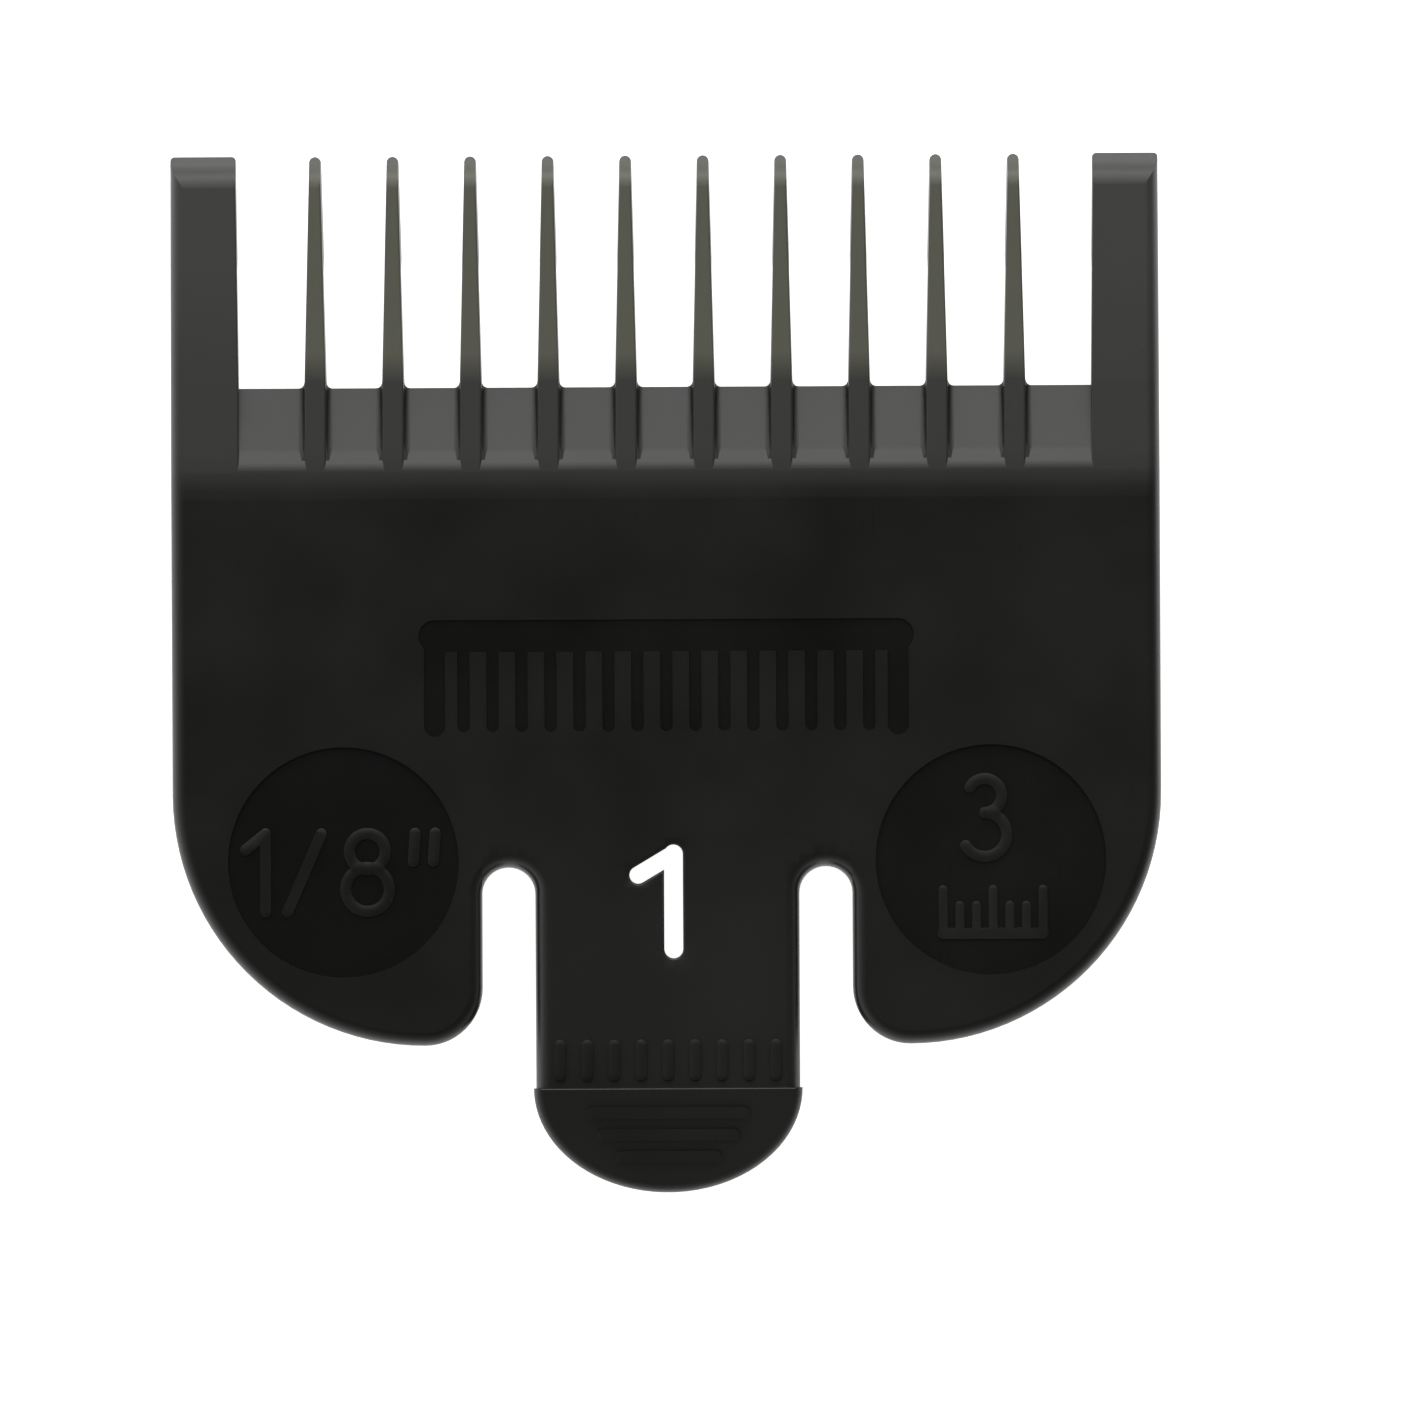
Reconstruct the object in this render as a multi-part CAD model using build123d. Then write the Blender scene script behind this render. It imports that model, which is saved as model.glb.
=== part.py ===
from build123d import *
import math
import os

# Clipper guard comb, in millimetres, lying with its outer (skin side) face up.
# X runs across the teeth, Y from the release tab to the tooth tips, Z out of the outer face.
# The origin is at the middle of the outline, level with the lowest point of the hooks.

# Overall size
WIDTH = 49.5
LENGTH = 52.0
HALF_W = WIDTH / 2
TIP_Y = LENGTH / 2
TAIL_Y = -LENGTH / 2

# Heights
TOP = 6.0                  # outer face of the plate
SEAT = 3.6                 # face that the blade rests on
LIP_TOP = 1.2              # lips of the hooks, under a 2.2 mm blade edge

# Plate outline
SIDE_END = -6.0            # the sides are straight down to here
LOBE_R = 12.6
LOBE_X = HALF_W - LOBE_R
LOBE_BOTTOM = SIDE_END - LOBE_R
SLOT_R = 1.33
SLOT_OUT = 9.27            # slot edge on the lobe
SLOT_X = SLOT_OUT - SLOT_R
SLOT_Y = -11.03
TAB_HALF = SLOT_X - SLOT_R
LOBE_IN_R = LOBE_X - SLOT_OUT
RIM_R = 0.65               # rounded rim of the outer face

# Bend and sloped web in front of the plate
CREST_ANGLE = 6.5          # degrees, slope of the tooth crests
BEND_R = 12.0              # the plate bends to that slope
BEND_CORNER = 9.45         # where the two slopes would meet
BEND_Y = BEND_CORNER - BEND_R * math.tan(math.radians(CREST_ANGLE / 2))
WEB_REAR = 10.4            # the web dips away from the crests here
WEB_DIP_Y = 0.8
WEB_DIP_Z = 0.25
WEB_DIP_R = (1.2, 2.0)     # roundings at the start and the end of the dip
WEB_FRONT = 14.35
WEB_FRONT_Z = 4.45
WEB_FLOOR_Y = WEB_REAR + WEB_DIP_Y

# Teeth
TOOTH_COUNT = 10
PITCH = 3.89
TOOTH_DRAFT = 1.0          # degrees on each flank
TOOTH_FOOT_Z = 1.5         # level at which the plan of a tooth is drawn
TOOTH_ROOT_HALF = 0.60
TOOTH_TIP_HALF = 0.32
CREST_R = 0.1
TIP_ROLL = 1.6             # length over which the crest rolls down to the nose
TIP_ROLL_R = 1.6
TIP_START = 7.5            # degrees, slope where the roll starts
TIP_END = 55.0             # degrees, slope where it ends
TIP_Z = 2.95               # top of the blunt nose
NOSE_Z = 2.0
NOSE_R = 0.5
BLADE_TIP_Y = 20.2         # the blade's own tooth tips stop here
STEP_RUN = 0.7             # the step in front of them slopes forward by this much
FLARE_R = 0.3
TOOTH_OVERLAP = 0.5
TOOTH_SEAM = WEB_FRONT + FLARE_R
RIB_REAR_Y = 10.2          # the ribs that carry the teeth over the web start here
RIB_FOOT_R = 0.32          # concave foot of a rib on the web
RIB_FOOT_IN = 0.05         # depth to which the foot is merged into rib and web
END_IN_WEB = 21.34
END_IN_TIP = 21.5
END_CORNER_R = 0.2

# Round label recesses with raised marks
RECESS_X = 16.2
RECESS_Y = -9.4
RECESS_R = 5.77
RECESS_Z = TOP - 0.35
MARK_H = 0.18

# Release tab
TAB_T = 1.6
TAB_BOTTOM = TOP - TAB_T
ROOT_THIN_Y = (-10.2, -11.6)
HINGE_Y = -12.3
HINGE_Z = TOP - TAB_T / 2
HINGE_GAP = 0.04
STEP_Y = -20.75
PAD_HALF = 6.73
PAD_LEDGE_R = 0.06
PAD_TOP = TOP + 0.55
PAD_TAIL_TOP = 5.5
PAD_TAIL_BOTTOM = 4.0
PAD_RIM_R = 0.45
CATCH_HALF = 6.4
CATCH_Y = -19.3            # blade's rear edge
CATCH_LIP = 0.8
CATCH_HOOK = (0.9, 0.5)    # heights of the hook's mouth edge and of its nose
CATCH_BEVEL = 0.5
CATCH_REAR = (0.3, 0.4)    # bevel at the foot of the rear face

# Numeral cut through the tab root
NUMERAL_X = 0.31
NUMERAL_TOP = -9.05
NUMERAL_BOTTOM = -13.8
NUMERAL_W = 0.94
FLAG_END = (-1.46, -10.1)
FLAG_W = 0.865

# Engraved comb pictogram
ICON_HALF = 12.4
ICON_Y = 1.9               # middle of the comb's back
ICON_BACK_W = 1.6
ICON_FOOT = -2.6
ICON_STROKE = 0.62
ICON_END_STROKE = 1.054    # the guard tooth at each end is wider
ICON_TEETH = 17
ICON_DEPTH = 0.22

# Raised marks
MARK_W = 0.55
FRACTION_TOP = -7.95
FRACTION_FOOT = -11.85
ONE_X = -20.1
ONE_FLAG = (-1.0, -0.8)    # from the top of the stem to the end of the flag
SLASH_X = (-19.0, -17.3)
EIGHT_X = -15.0
EIGHT_R = (0.9, 1.1)       # upper and lower ring
INCH_X = (-12.6, -11.6)
INCH_TICK = (-0.1, -1.4)   # from top to foot of an inch tick
THREE_X = 15.9
THREE_BOWLS = ((-6.2, 0.85, 150), (-8.15, 1.1, 90))    # middle, radius, start angle
THREE_SWEEP = -240
SCALE_Y = -13.1
SCALE_X = (13.8, 18.8)
SCALE_TICKS = 7
SCALE_LONG = 2.2           # the first tick and every third one after it
SCALE_SHORT = 1.4
SCALE_EVERY = 3
SCALE_W = 0.44
GRIP_X = 5.4
GRIP_Y = (-18.6, -20.1)
GRIP_TICKS = 9
PAD_RIBS = ((-22.0, 3.8), (-23.1, 3.3), (-24.2, 2.4))

# Seams between the named regions of the moulding
LOBE_SEAM = -3.4
ROOT_SEAM = -8.2

# Hooks and rails on the blade side
WALL_IN = 23.2             # inner face: the blade is 46 mm wide
WALL_ROOT = 0.3            # the rails are let into the plate by this much
CLAW_Y = (9.2, 19.8)
CLAW_LIP_Y = (13.6, 19.8)
CLAW_LIP_IN = 21.9
RAIL_Y = (LOBE_SEAM, 8.4)
RAIL_BOTTOM = 1.4
CLAW_LEAD = 0.35           # lead-in on the edge of the lip
CLAW_R = 0.25
RAIL_R = 0.3

FAR = 80.0


def block(x0, x1, y0, y1, z0, z1):
    """A box from its limits."""
    middle = Pos((x0 + x1) / 2, (y0 + y1) / 2, (z0 + z1) / 2)
    return middle * Box(x1 - x0, y1 - y0, z1 - z0)


def side_prism(points, x0, x1, rounds=()):
    """A solid from a side outline of (y, z) points, between two X values.

    The corners listed in rounds, as (y, z, radius), are rounded.
    """
    face = make_face(Polyline(*[(x0, y, z) for y, z in points], close=True))
    for y, z, radius in rounds:
        corner = face.vertices().sort_by_distance((x0, y, z))[0]
        face = fillet(corner, radius)
    return extrude(face, amount=x1 - x0, dir=(1, 0, 0))


def crest_z(y):
    """Height of the tooth crests, which carry on from the bend."""
    return TOP - (y - BEND_CORNER) * math.tan(math.radians(CREST_ANGLE))


def web_z(y):
    """Height of the web's sloped face between the teeth."""
    rear = crest_z(WEB_FLOOR_Y) - WEB_DIP_Z
    return rear + (WEB_FRONT_Z - rear) * (y - WEB_FLOOR_Y) / (WEB_FRONT - WEB_FLOOR_Y)


def stroke(start, end, width):
    """A straight stroke with round ends, flat on the XY plane."""
    dx = end[0] - start[0]
    dy = end[1] - start[1]
    middle = Pos((start[0] + end[0]) / 2, (start[1] + end[1]) / 2)
    turn = Rot(0, 0, math.degrees(math.atan2(dy, dx)))
    return middle * turn * SlotCenterToCenter(math.hypot(dx, dy), width)


def arc_stroke(centre, radius, start, sweep, width):
    """A curved stroke with round ends; angles in degrees, anticlockwise from +X."""
    arc = CenterArc(centre, radius, start, sweep)
    return SlotArc(arc, width)


def tooth_xs():
    first = -PITCH * (TOOTH_COUNT - 1) / 2
    return [first + PITCH * i for i in range(TOOTH_COUNT)]


def tooth_half(y, z):
    """Half width of a narrow tooth at a place along it and a height."""
    along = max(0, (y - TOOTH_SEAM) / (TIP_Y - TOOTH_TIP_HALF - TOOTH_SEAM))
    foot = TOOTH_ROOT_HALF + (TOOTH_TIP_HALF - TOOTH_ROOT_HALF) * along
    return foot - (z - TOOTH_FOOT_Z) * math.tan(math.radians(TOOTH_DRAFT))


def plate_outline():
    """Plate with its two lobes and the tab between them, from above."""
    with BuildSketch() as plan:
        with BuildLine():
            Line((0, WEB_FRONT), (HALF_W, WEB_FRONT))
            Line((HALF_W, WEB_FRONT), (HALF_W, SIDE_END))
            CenterArc((LOBE_X, SIDE_END), LOBE_R, 0, -90)
            CenterArc((LOBE_X, LOBE_BOTTOM + LOBE_IN_R), LOBE_IN_R, 270, -90)
            Line((SLOT_OUT, LOBE_BOTTOM + LOBE_IN_R), (SLOT_OUT, SLOT_Y))
            CenterArc((SLOT_X, SLOT_Y), SLOT_R, 0, 180)
            Line((TAB_HALF, SLOT_Y), (TAB_HALF, STEP_Y))
            Line((TAB_HALF, STEP_Y), (0, STEP_Y))
            Line((0, STEP_Y), (0, WEB_FRONT))
        make_face()
        mirror(about=Plane.YZ)
    return plan.sketch


def web_flares():
    """Small rounded gussets where the teeth leave the web, from above."""
    half = tooth_half(WEB_FRONT, SEAT)
    flares = Sketch()
    for x in tooth_xs():
        foot = Pos(x, WEB_FRONT + FLARE_R / 2) * Rectangle(2 * (half + FLARE_R), FLARE_R + 0.02)
        for side in (-1, 1):
            foot -= Pos(x + side * (half + FLARE_R), TOOTH_SEAM) * Circle(FLARE_R)
        flares += foot
    return flares


def moulding_section():
    """Side outline of plate, bend and web, along the whole comb."""
    return [
        (TAIL_Y, TOP), (BEND_CORNER, TOP), (WEB_REAR, crest_z(WEB_REAR)),
        (WEB_FLOOR_Y, web_z(WEB_FLOOR_Y)), (TOOTH_SEAM, web_z(TOOTH_SEAM)),
        (TOOTH_SEAM, SEAT), (TAIL_Y, SEAT),
    ]


def numeral():
    """The figure one: an upright stem with a short flag."""
    stem = stroke((NUMERAL_X, NUMERAL_TOP), (NUMERAL_X, NUMERAL_BOTTOM), NUMERAL_W)
    flag = stroke((NUMERAL_X, NUMERAL_TOP), FLAG_END, FLAG_W)
    return stem + flag


def comb_icon():
    """A dressing comb: a thick back with thin teeth below it."""
    back = Pos(0, ICON_Y) * SlotOverall(2 * ICON_HALF, ICON_BACK_W)
    reach = ICON_HALF - ICON_BACK_W / 2
    for i in range(ICON_TEETH):
        x = -reach + 2 * reach * i / (ICON_TEETH - 1)
        width = ICON_END_STROKE if i in (0, ICON_TEETH - 1) else ICON_STROKE
        back += stroke((x, ICON_Y), (x, ICON_FOOT), width)
    return back


def outline_rim(solid):
    """Edges round the outer face, along the sides and down the outer edges of the end teeth."""
    flat = solid.faces().filter_by(Axis.Z).filter_by(lambda f: abs(f.center().Z - TOP) < 0.01)
    ring = [e for e in flat.sort_by(SortBy.AREA)[-1].outer_wire().edges()
            if STEP_Y + 0.1 < e.center().Y < BEND_Y - 0.1]
    sides = [e for e in solid.edges()
             if abs(e.center().X) > HALF_W - 0.01 and e.center().Z > SEAT + 0.6
             and e.center().Y > BEND_Y - 0.1
             and e.bounding_box().size.Y > 0.5]
    return ring + sides


def make_moulding():
    """Plate, lobes, tab, web and end teeth as one solid, before it is parted into its regions."""
    section = side_prism(moulding_section(), -FAR, FAR, rounds=[
        (BEND_CORNER, TOP, BEND_R), (WEB_REAR, crest_z(WEB_REAR), WEB_DIP_R[0]),
        (WEB_FLOOR_Y, web_z(WEB_FLOOR_Y), WEB_DIP_R[1])])
    body = extrude(plate_outline() + web_flares(), amount=TOP + 1) & section
    body += end_tooth(1)
    body += end_tooth(-1)
    body = fillet(outline_rim(body), RIM_R)
    body -= tip_waste()
    tips = [e for e in body.edges().filter_by(Axis.Z) if e.center().Y > TIP_Y - 0.1]
    body = fillet(tips, END_CORNER_R)
    body -= extrude(Pos(0, 0, -1) * numeral(), amount=TOP + 2)
    body -= extrude(Pos(0, 0, TOP - ICON_DEPTH) * comb_icon(), amount=1)
    for side in (-1, 1):
        recess = Pos(side * RECESS_X, RECESS_Y, RECESS_Z) * Circle(RECESS_R)
        body -= extrude(recess, amount=1)
    return body


def tooth_section(rear, front_y):
    """Side outline of a tooth, with the step in front of the blade, before its tip is cut."""
    return rear + [
        (front_y, crest_z(front_y)), (front_y, NOSE_Z),
        (BLADE_TIP_Y + STEP_RUN, NOSE_Z), (BLADE_TIP_Y, SEAT), (rear[0][0], SEAT),
    ]


def tooth_plan(z):
    """Outline of a narrow tooth at a height: two straight flanks that run into a round tip."""
    half = tooth_half(TOOTH_SEAM, z)
    rear = Pos(0, TOOTH_SEAM - TOOTH_OVERLAP / 2) * Rectangle(2 * half, TOOTH_OVERLAP)
    radius = tooth_half(TIP_Y - TOOTH_TIP_HALF, z)
    tip = Pos(0, TIP_Y - TOOTH_TIP_HALF) * Circle(radius)
    return Pos(0, 0, z) * make_hull(rear.edges() + tip.edges())


def narrow_tooth():
    """Free part of a narrow tooth, on X = 0, with drafted flanks and a rounded tip."""
    bar = loft([tooth_plan(TOOTH_FOOT_Z), tooth_plan(TOP)], ruled=True)
    bar &= block(-2, 2, TOOTH_SEAM, FAR, 0, TOP)
    rear = [(TOOTH_SEAM, crest_z(TOOTH_SEAM))]
    tooth = bar & side_prism(tooth_section(rear, TIP_Y), -2, 2)
    return fillet(crest_edges(tooth), CREST_R) - tip_waste()


def rib():
    """Rib on the web that carries a narrow tooth, on X = 0."""
    levels = []
    for z in (TOOTH_FOOT_Z, TOP):
        half = tooth_half(TOOTH_SEAM, z)
        middle = Pos(0, (RIB_REAR_Y + TOOTH_SEAM) / 2, z)
        levels.append(middle * Rectangle(2 * half, TOOTH_SEAM - RIB_REAR_Y))
    bar = loft(levels, ruled=True) & rib_side(0)
    return fillet(crest_edges(bar), CREST_R)


def rib_side(drop):
    """Space under the crest line of a rib, lowered by drop."""
    return side_prism([
        (RIB_REAR_Y, crest_z(RIB_REAR_Y) - drop), (TOOTH_SEAM, crest_z(TOOTH_SEAM) - drop),
        (TOOTH_SEAM, SEAT), (RIB_REAR_Y, SEAT),
    ], -2, 2)


def rib_foot():
    """Concave foot along the right flank of a rib, running out under the rear of the web."""
    start = Vector(tooth_half(RIB_REAR_Y, web_z(RIB_REAR_Y)), RIB_REAR_Y, web_z(RIB_REAR_Y))
    end = Vector(tooth_half(WEB_FRONT, web_z(WEB_FRONT)), WEB_FRONT, web_z(WEB_FRONT))
    size = RIB_FOOT_R + RIB_FOOT_IN
    middle = (RIB_FOOT_R - RIB_FOOT_IN) / 2
    corner = Pos(middle, middle) * Rectangle(size, size)
    corner -= Pos(RIB_FOOT_R, RIB_FOOT_R) * Circle(RIB_FOOT_R)
    section = Plane(origin=start, x_dir=(1, 0, 0), z_dir=(0, -1, 0)) * corner
    along = end - start
    return extrude(section, amount=along.length, dir=along.normalized()) & rib_side(CREST_R)


def crest_edges(tooth):
    """Long edges between the crest of a tooth and its flanks."""
    top = tooth.faces().sort_by(Axis.Z)[-1]
    return [e for e in top.outer_wire().edges() if e.bounding_box().size.Y > 3]


def end_tooth(side):
    """Broad outer tooth on the left (-1) or right (1), still too long and without its tip."""
    rear_y = BEND_Y - 1
    long_y = TIP_Y + 2
    plan = make_face(Polyline(
        (END_IN_WEB, rear_y), (HALF_W, rear_y), (HALF_W, long_y),
        (END_IN_TIP, long_y), (END_IN_WEB, WEB_FRONT), close=True))
    rear = [(rear_y, TOP), (BEND_CORNER, TOP)]
    section = side_prism(tooth_section(rear, long_y), 0, FAR,
                         rounds=[(BEND_CORNER, TOP, BEND_R)])
    tooth = extrude(plan, amount=TOP) & section
    inner = [e for e in tooth.edges()
             if e.center().X < END_IN_TIP + 0.1 and e.center().Z > crest_z(e.center().Y) - 0.2
             and e.bounding_box().size.Y > 0.5]
    tooth = fillet(inner, CREST_R)
    return tooth if side > 0 else mirror(tooth, about=Plane.YZ)


def tip_waste():
    """What is cut away in front of a tooth: above the rolled tip and round the nose."""
    start = TIP_Y - TIP_ROLL
    flat = math.tan(math.radians(TIP_START))
    steep = math.tan(math.radians(TIP_END))
    reach = (TIP_Z + steep * TIP_ROLL - crest_z(start)) / (steep - flat)
    corner = (start + reach, crest_z(start) - flat * reach)
    return side_prism([
        (start, crest_z(start)), corner, (TIP_Y, TIP_Z), (TIP_Y, NOSE_Z + NOSE_R),
        (TIP_Y - NOSE_R, NOSE_Z), (TIP_Y - NOSE_R, 0), (FAR, 0), (FAR, TOP), (start, TOP),
    ], -FAR, FAR, rounds=[(*corner, TIP_ROLL_R)])


def corner_claw():
    """Hook under the right front corner of the blade: a side wall with a lip turned inwards."""
    wall = block(WALL_IN, HALF_W, *CLAW_Y, 0, SEAT)
    lip = block(CLAW_LIP_IN, HALF_W, *CLAW_LIP_Y, 0, LIP_TOP)
    claw = wall + lip
    lead = claw.edges().filter_by(Axis.Y).sort_by(Axis.X)[:2]
    claw = chamfer(lead.sort_by(Axis.Z)[-1:], CLAW_LEAD)
    return fillet(claw.faces().sort_by(Axis.Z)[0].edges(), CLAW_R)


def side_rail():
    """Low rail that keeps the right side of the blade in line, let into the plate."""
    rail = block(WALL_IN, HALF_W, *RAIL_Y, RAIL_BOTTOM, SEAT + WALL_ROOT)
    return fillet(rail.faces().sort_by(Axis.Z)[0].edges(), RAIL_R)


def rail_seats():
    """Room in the underside of the plate for the two rails."""
    right = block(WALL_IN, HALF_W + 1, *RAIL_Y, 0, SEAT + WALL_ROOT)
    return right + mirror(right, about=Plane.YZ)


def tongue(moulding):
    """Flexing tongue of the tab, from its round hinge nose to the thumb pad."""
    flat = moulding & block(-TAB_HALF, TAB_HALF, STEP_Y, HINGE_Y, TAB_BOTTOM, TOP)
    nose = Pos(0, HINGE_Y, HINGE_Z) * Rot(0, 90, 0) * Cylinder(TAB_T / 2, 2 * TAB_HALF)
    nose -= extrude(Pos(0, 0, -1) * numeral(), amount=TOP + 2)
    return flat + nose


def root(moulding):
    """Fixed bridge between the slots that the tongue bends from."""
    bridge = moulding & block(-SLOT_OUT, SLOT_OUT, HINGE_Y, ROOT_SEAM, 0, TOP)
    socket = Pos(0, HINGE_Y, HINGE_Z) * Rot(0, 90, 0) * Cylinder(TAB_T / 2 + HINGE_GAP, WIDTH)
    thin = [(ROOT_THIN_Y[0], SEAT), (ROOT_THIN_Y[1], TAB_BOTTOM), (HINGE_Y - 1, TAB_BOTTOM),
            (HINGE_Y - 1, SEAT - 1), (ROOT_THIN_Y[0], SEAT - 1)]
    return bridge - side_prism(thin, -FAR, FAR) - socket


def pad_section(front_y):
    """Side outline of the thumb pad, from its sloping top down to the blade side."""
    rise = (PAD_TOP - PAD_TAIL_TOP) / (STEP_Y - TAIL_Y)
    return [(front_y, PAD_TOP + rise * (front_y - STEP_Y)), (TAIL_Y, PAD_TAIL_TOP),
            (TAIL_Y, PAD_TAIL_BOTTOM), (front_y, TAB_BOTTOM)]


def thumb_pad():
    """Half-round pad, proud of the tab at its front ledge and sloping back."""
    plan = Pos(0, STEP_Y) * Ellipse(PAD_HALF, STEP_Y - TAIL_Y)
    spare_y = STEP_Y + 1
    pad = extrude(plan, amount=PAD_TOP + 1) & side_prism(pad_section(spare_y), -FAR, FAR)
    rim = [e for e in pad.faces().sort_by(Axis.Z)[-1].edges() if e.center().Y < spare_y - 0.01]
    ledge = side_prism(pad_section(STEP_Y), -FAR, FAR, rounds=[(STEP_Y, PAD_TOP, PAD_LEDGE_R)])
    return fillet(rim, PAD_RIM_R) & ledge


def blade_catch():
    """Block under the end of the tongue, hooked under the blade's rear edge."""
    hook_y = CATCH_Y + CATCH_LIP
    section = [(CATCH_Y, TAB_BOTTOM), (CATCH_Y, LIP_TOP), (hook_y, CATCH_HOOK[0]),
               (hook_y, CATCH_HOOK[1]), (hook_y - CATCH_BEVEL, 0),
               (STEP_Y + CATCH_REAR[0], 0), (STEP_Y, CATCH_REAR[1]), (STEP_Y, TAB_BOTTOM)]
    return side_prism(section, -CATCH_HALF, CATCH_HALF)


def raised(strokes, base=TOP):
    """Raised solids from a list of flat strokes; strokes that touch become one solid."""
    shape = strokes[0]
    for item in strokes[1:]:
        shape += item
    return extrude(Pos(0, 0, base) * shape, amount=MARK_H)


def size_mark_inch():
    """Raised fraction, one eighth, with its two inch ticks."""
    top = FRACTION_TOP
    foot = FRACTION_FOOT
    strokes = [
        stroke((ONE_X, top), (ONE_X, foot), MARK_W),
        stroke((ONE_X, top), (ONE_X + ONE_FLAG[0], top + ONE_FLAG[1]), MARK_W),
        stroke((SLASH_X[0], foot), (SLASH_X[1], top), MARK_W),
    ]
    for x in INCH_X:
        strokes.append(stroke((x, top), (x + INCH_TICK[0], top + INCH_TICK[1]), MARK_W))
    for y, radius in ((top - EIGHT_R[0], EIGHT_R[0]), (foot + EIGHT_R[1], EIGHT_R[1])):
        ring = Circle(radius + MARK_W / 2) - Circle(radius - MARK_W / 2)
        strokes.append(Pos(EIGHT_X, y) * ring)
    return raised(strokes, RECESS_Z)


def size_mark_mm():
    """Raised figure three over a short row of scale ticks."""
    strokes = [arc_stroke((THREE_X, y), radius, start, THREE_SWEEP, MARK_W)
               for y, radius, start in THREE_BOWLS]
    strokes.append(stroke((SCALE_X[0], SCALE_Y), (SCALE_X[1], SCALE_Y), MARK_W))
    step = (SCALE_X[1] - SCALE_X[0]) / (SCALE_TICKS - 1)
    for i in range(SCALE_TICKS):
        x = SCALE_X[0] + step * i
        height = SCALE_LONG if i % SCALE_EVERY == 0 else SCALE_SHORT
        strokes.append(stroke((x, SCALE_Y), (x, SCALE_Y + height), SCALE_W))
    return raised(strokes, RECESS_Z)


def grip_marks():
    """Upright grip ticks on the end of the tongue and three ribs across the thumb pad."""
    marks = []
    for i in range(GRIP_TICKS):
        x = -GRIP_X + 2 * GRIP_X * i / (GRIP_TICKS - 1)
        tick = stroke((x, GRIP_Y[0]), (x, GRIP_Y[1]), MARK_W)
        marks.append(raised([tick]))
    slab = [(STEP_Y, PAD_TOP), (TAIL_Y, PAD_TAIL_TOP), (TAIL_Y, PAD_TAIL_TOP + MARK_H),
            (STEP_Y, PAD_TOP + MARK_H)]
    layer = side_prism(slab, -TAB_HALF, TAB_HALF)
    for y, half in PAD_RIBS:
        ridge = extrude(stroke((-half, y), (half, y), MARK_W), amount=TOP + 2)
        marks.append(ridge & layer)
    return Compound(children=marks)


def on_left(solid):
    return mirror(solid, about=Plane.YZ)


def make_nodes():
    moulding = make_moulding()
    tooth = narrow_tooth()
    web = moulding & block(-FAR, FAR, BEND_Y, TOOTH_SEAM, 0, TOP)
    for x in tooth_xs():
        for piece in (rib(), rib_foot(), on_left(rib_foot())):
            web += Pos(x, 0, 0) * piece

    nodes = {}
    nodes["face_plate"] = (moulding & block(-FAR, FAR, LOBE_SEAM, BEND_Y, 0, TOP)) + (
        moulding & block(-SLOT_OUT, SLOT_OUT, ROOT_SEAM, LOBE_SEAM, 0, TOP)) - rail_seats()
    nodes["left_lobe"] = moulding & block(-FAR, -SLOT_OUT, -FAR, LOBE_SEAM, 0, TOP)
    nodes["right_lobe"] = moulding & block(SLOT_OUT, FAR, -FAR, LOBE_SEAM, 0, TOP)
    nodes["tooth_web"] = web
    for i, x in enumerate(tooth_xs(), start=1):
        nodes[f"tooth_{i:02d}"] = Pos(x, 0, 0) * tooth
    nodes["end_tooth_left"] = moulding & block(-FAR, -20, TOOTH_SEAM, FAR, 0, TOP)
    nodes["end_tooth_right"] = moulding & block(20, FAR, TOOTH_SEAM, FAR, 0, TOP)
    nodes["corner_claw_right"] = corner_claw()
    nodes["corner_claw_left"] = on_left(corner_claw())
    nodes["side_rail_right"] = side_rail()
    nodes["side_rail_left"] = on_left(side_rail())
    nodes["tab_root"] = root(moulding)
    nodes["size_mark_inch"] = size_mark_inch()
    nodes["size_mark_mm"] = size_mark_mm()
    nodes["tab_tongue"] = tongue(moulding)
    nodes["thumb_pad"] = thumb_pad()
    nodes["blade_catch"] = blade_catch()
    nodes["grip_marks"] = grip_marks()
    return nodes


os.makedirs("parts", exist_ok=True)
for name, shape in make_nodes().items():
    export_step(shape, f"parts/{name}.step")
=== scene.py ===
import math

import bmesh
import bpy
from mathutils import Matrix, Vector
from mathutils.geometry import delaunay_2d_cdt

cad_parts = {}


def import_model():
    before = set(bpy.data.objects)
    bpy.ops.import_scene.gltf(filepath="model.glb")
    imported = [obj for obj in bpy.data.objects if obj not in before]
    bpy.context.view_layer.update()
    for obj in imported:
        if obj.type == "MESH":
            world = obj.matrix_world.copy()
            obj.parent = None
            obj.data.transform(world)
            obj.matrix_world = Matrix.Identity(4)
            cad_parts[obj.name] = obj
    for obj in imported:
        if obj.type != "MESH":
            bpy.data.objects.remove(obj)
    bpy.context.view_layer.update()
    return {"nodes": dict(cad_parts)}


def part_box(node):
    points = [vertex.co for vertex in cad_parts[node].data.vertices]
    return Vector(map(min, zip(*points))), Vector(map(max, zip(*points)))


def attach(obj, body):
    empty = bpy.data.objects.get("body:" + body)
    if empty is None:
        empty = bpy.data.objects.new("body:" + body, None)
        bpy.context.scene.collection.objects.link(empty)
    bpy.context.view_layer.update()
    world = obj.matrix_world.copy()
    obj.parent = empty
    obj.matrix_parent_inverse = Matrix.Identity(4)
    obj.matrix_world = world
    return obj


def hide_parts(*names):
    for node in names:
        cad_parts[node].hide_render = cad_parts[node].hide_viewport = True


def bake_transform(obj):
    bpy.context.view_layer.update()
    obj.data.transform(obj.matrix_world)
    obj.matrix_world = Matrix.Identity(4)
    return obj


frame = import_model()

# The comb lies with its outer face up: X across the teeth, Y to the tooth tips, all in metres.
MM = 0.001
ROOT_LO, ROOT_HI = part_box("tab_root")
TONGUE_LO, TONGUE_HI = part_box("tab_tongue")
PLATE_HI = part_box("face_plate")[1]

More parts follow.
